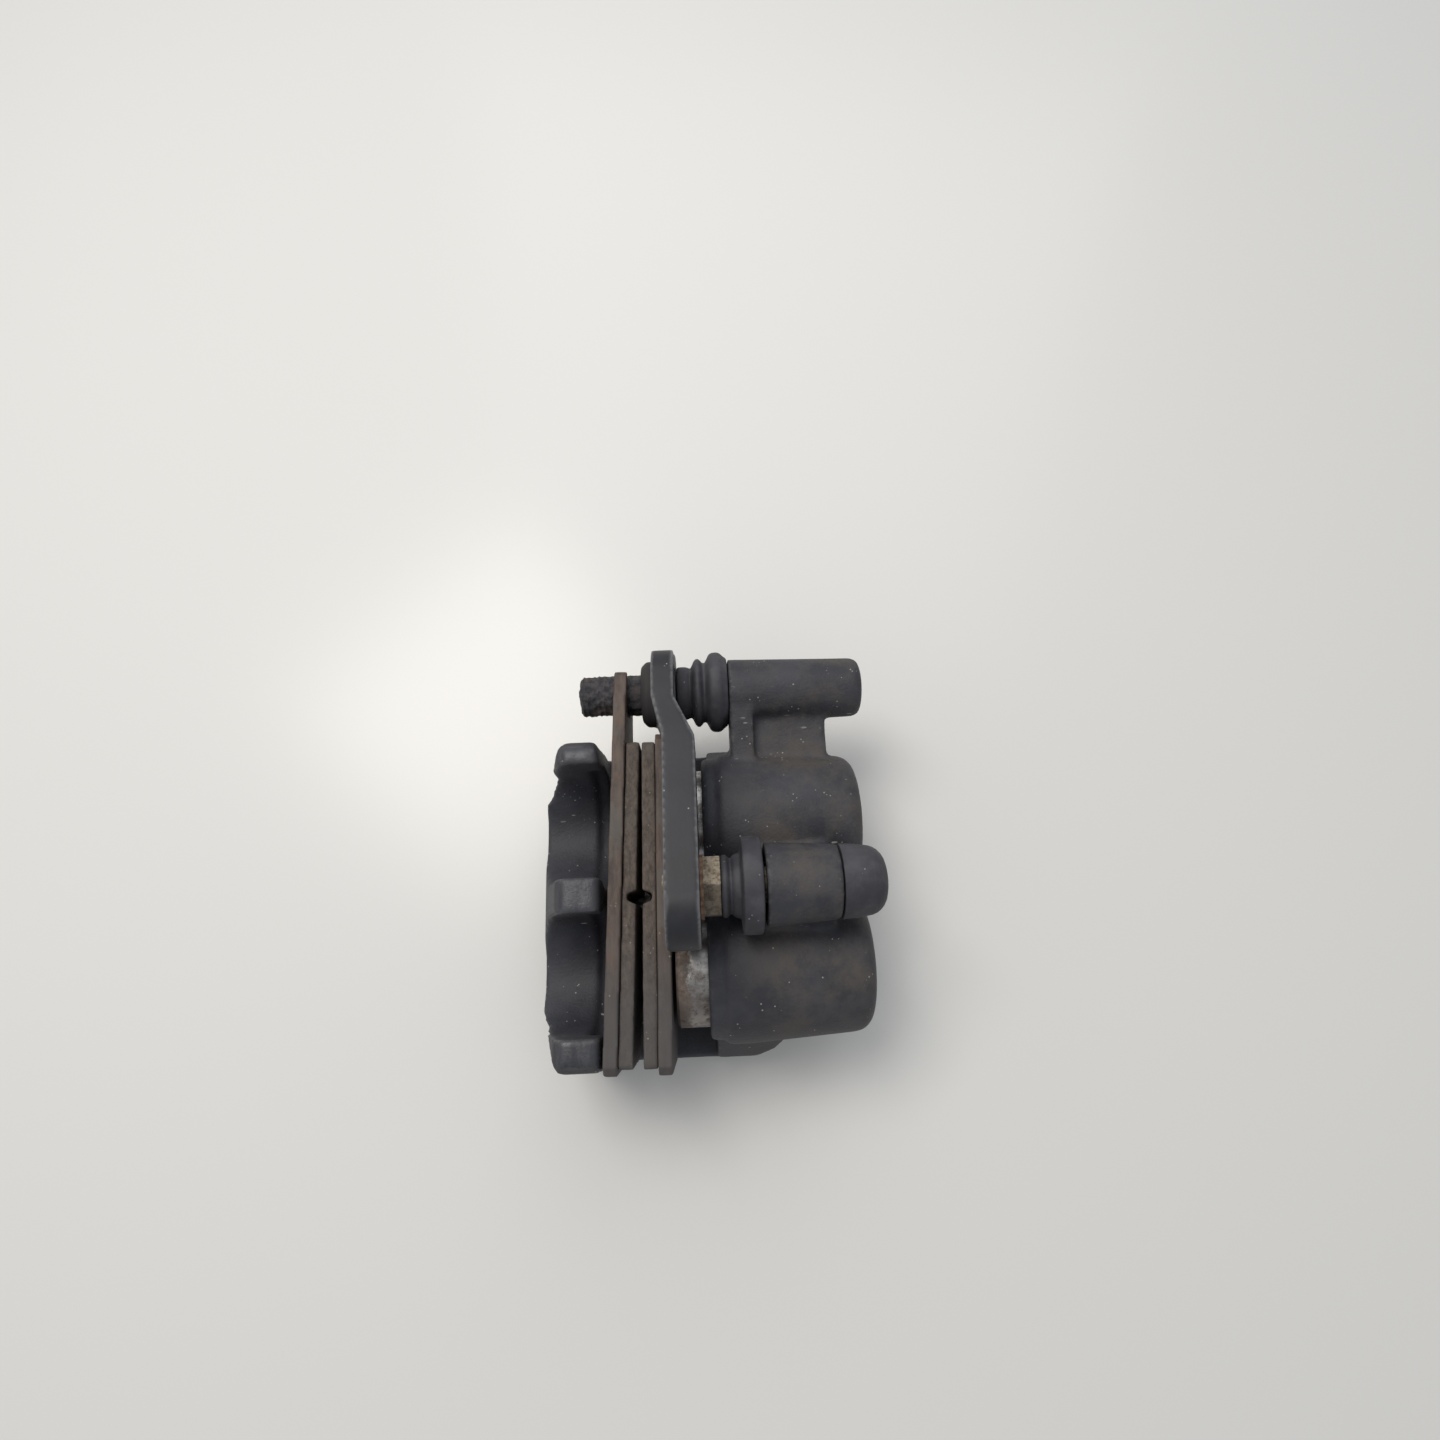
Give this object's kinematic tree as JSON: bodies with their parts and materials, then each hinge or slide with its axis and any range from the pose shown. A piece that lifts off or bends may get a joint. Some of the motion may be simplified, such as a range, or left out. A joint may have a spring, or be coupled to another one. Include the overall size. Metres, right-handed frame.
{
  "type": "floating disc brake caliper",
  "caption": "Hydraulic floating disc brake caliper with paired pistons, a claw bridge, brake pads and a slide pin bracket.",
  "frame": {"origin": "on the bridge's flat rest face, below the point midway between the two piston axes, 3.8 mm behind the cylinder mouths", "axes": "+X along the slide pins towards the closed cylinder ends, +Y from the lower piston to the upper slide pin, +Z from the bridge to the wheel hub side"},
  "size_m": [0.0929, 0.1124, 0.079],
  "materials": {
    "cast_body": "worn matt black coating over cast aluminium",
    "bracket_steel": "satin dark grey",
    "pin_steel": "dirty black steel",
    "zinc_steel": "dull yellow zinc",
    "copper_washer": "tarnished copper",
    "boot_rubber": "dusty matt rubber",
    "seal_rubber": "smooth rubber",
    "piston_chrome": "chromed steel with rust",
    "plate_steel": "brown brake dust and rust",
    "pad_lining": "worn friction compound",
    "bright_steel": "plated steel",
    "spring_steel": "stainless sheet"
  },
  "bodies": {
    "bracket": {"mounting_bracket": "bracket_steel", "upper_slide_pin": "pin_steel", "lower_slide_pin": "zinc_steel", "lower_pin_washer": "copper_washer"},
    "caliper": {"caliper_body": "cast_body", "upper_pin_boot": "boot_rubber", "lower_pin_boot": "boot_rubber", "lower_pin_cap": "boot_rubber", "upper_piston_seal": "seal_rubber", "lower_piston_seal": "seal_rubber", "upper_dust_seal": "seal_rubber", "lower_dust_seal": "seal_rubber", "pad_pin": "bright_steel", "pad_pin_plug": "bright_steel", "pad_spring": "spring_steel", "bleed_screw": "bright_steel", "bleed_screw_cap": "boot_rubber"},
    "piston_upper": {"upper_piston": "piston_chrome"},
    "piston_lower": {"lower_piston": "piston_chrome"},
    "pad_outer": {"outer_pad_plate": "plate_steel", "outer_pad_lining": "pad_lining"},
    "pad_inner": {"inner_pad_plate": "plate_steel", "inner_pad_lining": "pad_lining"}
  },
  "joints": [
    {"name": "caliper_slide", "type": "slide", "parent": "bracket", "child": "caliper", "axis": [1, 0, 0], "range_m": [-0.0044, 0.0014], "deforming": ["upper_pin_boot", "lower_pin_boot"]},
    {"name": "upper_piston_slide", "type": "slide", "parent": "caliper", "child": "piston_upper", "axis": [1, 0, 0], "range_m": [-0.00025, 0.008]},
    {"name": "lower_piston_slide", "type": "slide", "parent": "caliper", "child": "piston_lower", "axis": [1, 0, 0], "range_m": [-0.00025, 0.008]},
    {"name": "inner_pad_slide", "type": "slide", "parent": "caliper", "child": "pad_inner", "axis": [1, 0, 0], "range_m": [-0.00025, 0.008]},
    {"name": "outer_pad_slide", "type": "slide", "parent": "caliper", "child": "pad_outer", "axis": [1, 0, 0], "range_m": [-0.0005, 0.0001]}
  ],
  "couplings": [
    {"joint": "lower_piston_slide", "follows": "upper_piston_slide", "ratio": 1},
    {"joint": "inner_pad_slide", "follows": "upper_piston_slide", "ratio": 1}
  ]
}
